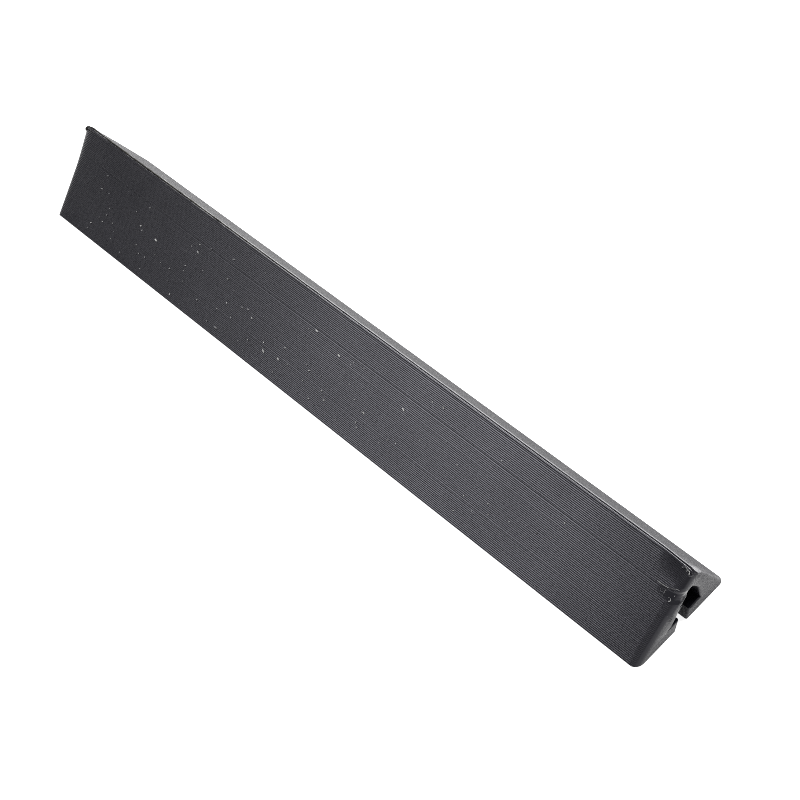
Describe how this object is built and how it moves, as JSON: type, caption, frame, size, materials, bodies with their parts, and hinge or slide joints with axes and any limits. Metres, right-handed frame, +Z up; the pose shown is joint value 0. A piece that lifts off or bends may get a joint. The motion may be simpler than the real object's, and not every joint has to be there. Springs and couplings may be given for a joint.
{
  "type": "cable cover",
  "caption": "Short three-sided cable protector with a channel for one lead, open underneath along a slot between two feet that spring apart.",
  "frame": {"origin": "middle of the base, on the surface that the cover stands on", "axes": "+X along the bar, +Y across it towards the rear foot, +Z up to the ridge"},
  "size_m": [0.12, 0.0186, 0.0127],
  "materials": {
    "printed_body": "charcoal printed plastic with fine layer lines, satin along the lines"
  },
  "bodies": {
    "crown": {"crown": "printed_body"},
    "front_leg": {"front_leg": "printed_body"},
    "rear_leg": {"rear_leg": "printed_body"}
  },
  "joints": [
    {"name": "front_leg_flex", "type": "hinge", "parent": "crown", "child": "front_leg", "pos_m": [0, -0.00375, 0.00782], "axis": [-1, 0, 0], "range_deg": [0, 8], "stiffness_Nm_per_rad": 1.5},
    {"name": "rear_leg_flex", "type": "hinge", "parent": "crown", "child": "rear_leg", "pos_m": [0, 0.00375, 0.00782], "axis": [1, 0, 0], "range_deg": [0, 8], "stiffness_Nm_per_rad": 1.5}
  ]
}
